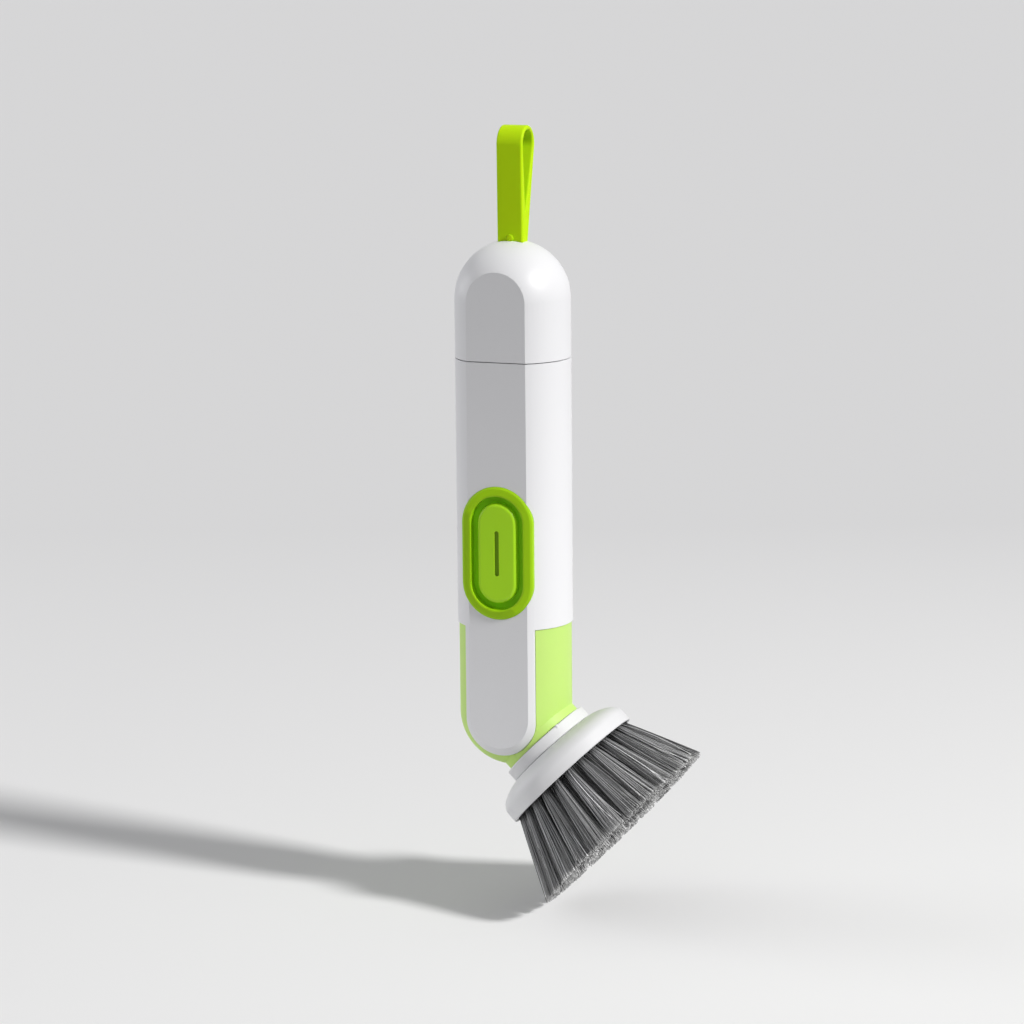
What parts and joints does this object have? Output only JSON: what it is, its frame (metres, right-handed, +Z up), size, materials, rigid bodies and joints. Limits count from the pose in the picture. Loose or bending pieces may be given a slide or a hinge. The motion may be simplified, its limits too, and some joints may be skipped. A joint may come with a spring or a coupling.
{
  "type": "dish wand",
  "caption": "Soap dispensing dish wand: upright handle with a flat front, push button, domed cap with hanging loop and a round brush head tilted to one side.",
  "frame": {"origin": "on the table under the middle of the wand's bounding box, as it stands in the picture", "axes": "+Z up along the handle towards the hanging loop, -Y out of the flat front with the button, +X towards the side that the brush head tilts to"},
  "size_m": [0.0792, 0.0714, 0.2515],
  "materials": {
    "white_plastic": "fine satin moulded white plastic",
    "green_silicone": "satin lime green silicone",
    "green_button": "satin green soft moulding",
    "light_green_plastic": "satin light green plastic",
    "grey_bristle": "grey nylon filaments",
    "clear_silicone": "milky silicone",
    "black_rubber": "matt black rubber",
    "spring_steel": "drawn stainless wire",
    "brass_wire": "flat drawn wire"
  },
  "bodies": {
    "handle": {"body_shell": "white_plastic", "cap_seal": "black_rubber", "button_bezel": "green_button", "pump_membrane": "green_button", "return_spring": "spring_steel", "pump_chamber": "white_plastic", "inlet_valve": "clear_silicone", "outlet_valve": "clear_silicone", "delivery_tube": "clear_silicone", "tube_grommet": "black_rubber", "lower_shell": "light_green_plastic", "head_socket": "white_plastic"},
    "cap_body": {"cap": "white_plastic", "strap_loop": "green_silicone"},
    "button": {"button_pad": "green_button"},
    "brush_head": {"brush_base": "white_plastic", "socket_seal": "black_rubber", "slit_valve": "clear_silicone", "tufts_outer": "grey_bristle", "tufts_middle": "grey_bristle", "tufts_inner": "grey_bristle", "tuft_anchors": "brass_wire"}
  },
  "joints": [
    {"name": "button_press", "type": "slide", "parent": "handle", "child": "button", "axis": [0, 1, 0], "range_m": [0, 0.0024], "stiffness_N_per_m": 150, "deforming": ["pump_membrane", "return_spring"]},
    {"name": "cap_pull", "type": "slide", "parent": "handle", "child": "cap_body", "axis": [0, 0, 1], "range_m": [0, 0.03]},
    {"name": "head_pull", "type": "slide", "parent": "handle", "child": "brush_head", "axis": [0.7071, 0, -0.7071], "range_m": [0, 0.03]}
  ]
}
